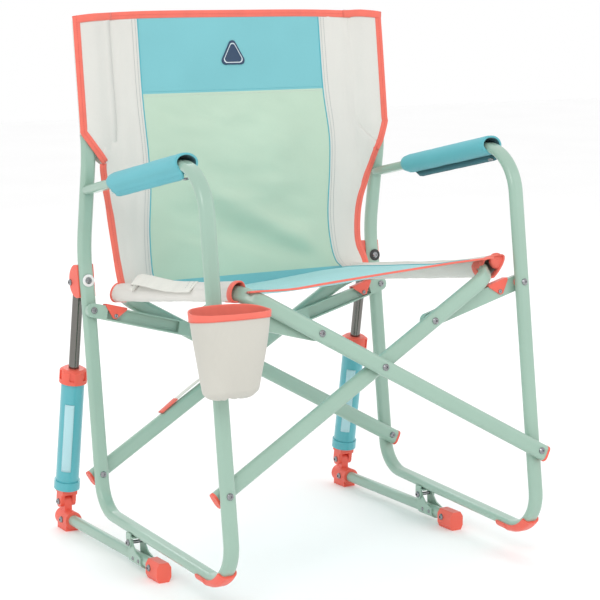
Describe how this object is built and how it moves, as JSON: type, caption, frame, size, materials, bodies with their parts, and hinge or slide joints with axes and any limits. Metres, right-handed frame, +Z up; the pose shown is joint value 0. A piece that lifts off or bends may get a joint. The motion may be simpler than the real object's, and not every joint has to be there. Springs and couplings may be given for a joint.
{
  "type": "folding camp rocking chair",
  "caption": "Folding camp rocking chair with a sling seat and back, scissor seat frames, spring-strut rocker legs, padded armrests and a fabric cup holder.",
  "frame": {"origin": "bottom centre of the bounding box, on the floor", "axes": "+X to the sitter's left, -Y the way the chair faces, +Z up"},
  "size_m": [0.6675, 0.6824, 0.8897],
  "materials": {
    "sage_enamel": "semi-gloss powder coat",
    "coral_plastic": "satin moulded plastic",
    "strut_blue": "satin",
    "polished_rod": "polished",
    "piston_steel": "machined",
    "spring_steel": "wire",
    "bright_steel": "plated",
    "back_fabric": "plain weave polyester",
    "seat_fabric": "plain weave polyester",
    "armrest_fabric": "plain weave polyester",
    "sleeve_fabric": "plain weave polyester",
    "cup_fabric": "plain weave polyester",
    "coral_binding": "grosgrain binding",
    "webbing": "webbing",
    "patch_fabric": "moulded patch"
  },
  "bodies": {
    "left_frame": {"left_side_tube": "sage_enamel", "left_armrest_pad": "armrest_fabric", "left_front_pad": "coral_plastic", "left_rail_bracket": "sage_enamel", "left_strut_mount": "coral_plastic", "left_frame_fasteners": "bright_steel", "left_back_sleeve": "sleeve_fabric", "cup_holder": "cup_fabric", "cup_holder_band": "coral_binding", "back_panel": "back_fabric", "headrest_patch": "patch_fabric"},
    "scissor_b": {"seat_frame_b_tube": "sage_enamel", "seat_frame_b_end_caps": "coral_plastic", "seat_frame_b_fasteners": "bright_steel", "right_seat_sleeve": "sleeve_fabric", "carry_strap": "webbing"},
    "scissor_a": {"seat_frame_a_tube": "sage_enamel", "seat_frame_a_end_caps": "coral_plastic", "seat_frame_a_fasteners": "bright_steel", "left_seat_sleeve": "sleeve_fabric", "pull_loop": "webbing", "seat_panel": "seat_fabric"},
    "right_frame": {"right_side_tube": "sage_enamel", "right_armrest_pad": "armrest_fabric", "right_front_pad": "coral_plastic", "right_rail_bracket": "sage_enamel", "right_strut_mount": "coral_plastic", "right_frame_fasteners": "bright_steel", "right_back_sleeve": "sleeve_fabric", "link_spacer": "coral_plastic"},
    "front_left_link_body": {"front_left_link": "sage_enamel", "front_left_wedge": "coral_plastic"},
    "front_right_link_body": {"front_right_link": "sage_enamel", "front_right_wedge": "coral_plastic"},
    "rear_left_link_body": {"rear_left_link": "sage_enamel", "rear_left_wedge": "coral_plastic"},
    "rear_right_link_body": {"rear_right_link": "sage_enamel", "rear_right_wedge": "coral_plastic"},
    "ground_leg_left": {"left_ground_tube": "sage_enamel", "left_foot_cap": "coral_plastic", "left_knuckle": "coral_plastic", "left_saddle": "sage_enamel", "left_ground_fasteners": "bright_steel"},
    "strut_cylinder_left": {"left_strut_cylinder": "strut_blue", "left_strut_gland": "coral_plastic", "left_strut_clevis": "coral_plastic", "left_strut_spring": "spring_steel"},
    "strut_rod_left": {"left_strut_rod": "polished_rod", "left_strut_piston": "piston_steel"},
    "ground_leg_right": {"right_ground_tube": "sage_enamel", "right_foot_cap": "coral_plastic", "right_knuckle": "coral_plastic", "right_saddle": "sage_enamel", "right_ground_fasteners": "bright_steel"},
    "strut_cylinder_right": {"right_strut_cylinder": "strut_blue", "right_strut_gland": "coral_plastic", "right_strut_clevis": "coral_plastic", "right_strut_spring": "spring_steel"},
    "strut_rod_right": {"right_strut_rod": "polished_rod", "right_strut_piston": "piston_steel"}
  },
  "joints": [
    {"name": "seat_frame_b_pivot", "type": "hinge", "parent": "left_frame", "child": "scissor_b", "pos_m": [-0.26825, -0.27849, 0.18939], "axis": [0, 0.9903, -0.1392], "range_deg": [-43.3, 0]},
    {"name": "fold", "type": "hinge", "parent": "scissor_b", "child": "scissor_a", "pos_m": [0.02075, -0.25553, 0.35278], "axis": [0, 0.9903, -0.1392], "range_deg": [0, 92], "deforming": ["seat_panel", "back_panel", "headrest_patch"]},
    {"name": "seat_frame_a_pivot", "type": "hinge", "parent": "scissor_a", "child": "right_frame", "pos_m": [0.30975, -0.27849, 0.18939], "axis": [0, 0.9903, -0.1392], "range_deg": [-43.3, 0]},
    {"name": "front_left_link_pivot", "type": "hinge", "parent": "left_frame", "child": "front_left_link_body", "pos_m": [-0.26825, -0.2485, 0.46388], "axis": [0, 0.9903, -0.1392], "range_deg": [-79.4, 0]},
    {"name": "front_right_link_pivot", "type": "hinge", "parent": "right_frame", "child": "front_right_link_body", "pos_m": [0.30975, -0.2485, 0.46388], "axis": [0, 0.9903, -0.1392], "range_deg": [0, 79.4]},
    {"name": "rear_left_link_pivot", "type": "hinge", "parent": "left_frame", "child": "rear_left_link_body", "pos_m": [-0.26825, 0.19613, 0.4014], "axis": [0, 0.9903, -0.1392], "range_deg": [-79.4, 0]},
    {"name": "rear_right_link_pivot", "type": "hinge", "parent": "right_frame", "child": "rear_right_link_body", "pos_m": [0.30975, 0.19613, 0.4014], "axis": [0, 0.9903, -0.1392], "range_deg": [0, 79.4]},
    {"name": "rock_left", "type": "hinge", "parent": "left_frame", "child": "ground_leg_left", "pos_m": [-0.26825, 0.02627, 0.044], "axis": [1, 0, 0], "range_deg": [0, 15], "stiffness_Nm_per_rad": 60, "springref_deg": -20.05},
    {"name": "left_strut_swing", "type": "hinge", "parent": "ground_leg_left", "child": "strut_cylinder_left", "pos_m": [-0.26825, 0.30628, 0.049], "axis": [1, 0, 0], "range_deg": [-14.4, 0]},
    {"name": "left_strut_slide", "type": "slide", "parent": "strut_cylinder_left", "child": "strut_rod_left", "axis": [0, -0.174, 0.9847], "range_m": [-0.073, 0], "deforming": ["left_strut_spring"]},
    {"name": "rock_right", "type": "hinge", "parent": "right_frame", "child": "ground_leg_right", "pos_m": [0.30975, 0.04344, 0.044], "axis": [1, 0, 0], "range_deg": [0, 15], "stiffness_Nm_per_rad": 60, "springref_deg": -20.05},
    {"name": "right_strut_swing", "type": "hinge", "parent": "ground_leg_right", "child": "strut_cylinder_right", "pos_m": [0.30975, 0.32344, 0.049], "axis": [1, 0, 0], "range_deg": [-14.4, 0]},
    {"name": "right_strut_slide", "type": "slide", "parent": "strut_cylinder_right", "child": "strut_rod_right", "axis": [0, -0.174, 0.9847], "range_m": [-0.073, 0], "deforming": ["right_strut_spring"]}
  ],
  "couplings": [
    {"joint": "seat_frame_b_pivot", "follows": "fold", "ratio": -0.47},
    {"joint": "seat_frame_a_pivot", "follows": "fold", "ratio": -0.47},
    {"joint": "front_left_link_pivot", "follows": "fold", "ratio": -0.862},
    {"joint": "front_right_link_pivot", "follows": "fold", "ratio": 0.862},
    {"joint": "rear_left_link_pivot", "follows": "fold", "ratio": -0.862},
    {"joint": "rear_right_link_pivot", "follows": "fold", "ratio": 0.862},
    {"joint": "left_strut_swing", "follows": "rock_left", "ratio": -0.96},
    {"joint": "left_strut_slide", "follows": "rock_left", "m_per_rad": -0.2787},
    {"joint": "rock_right", "follows": "rock_left", "ratio": 1},
    {"joint": "right_strut_swing", "follows": "rock_left", "ratio": -0.96},
    {"joint": "right_strut_slide", "follows": "rock_left", "m_per_rad": -0.2787}
  ]
}
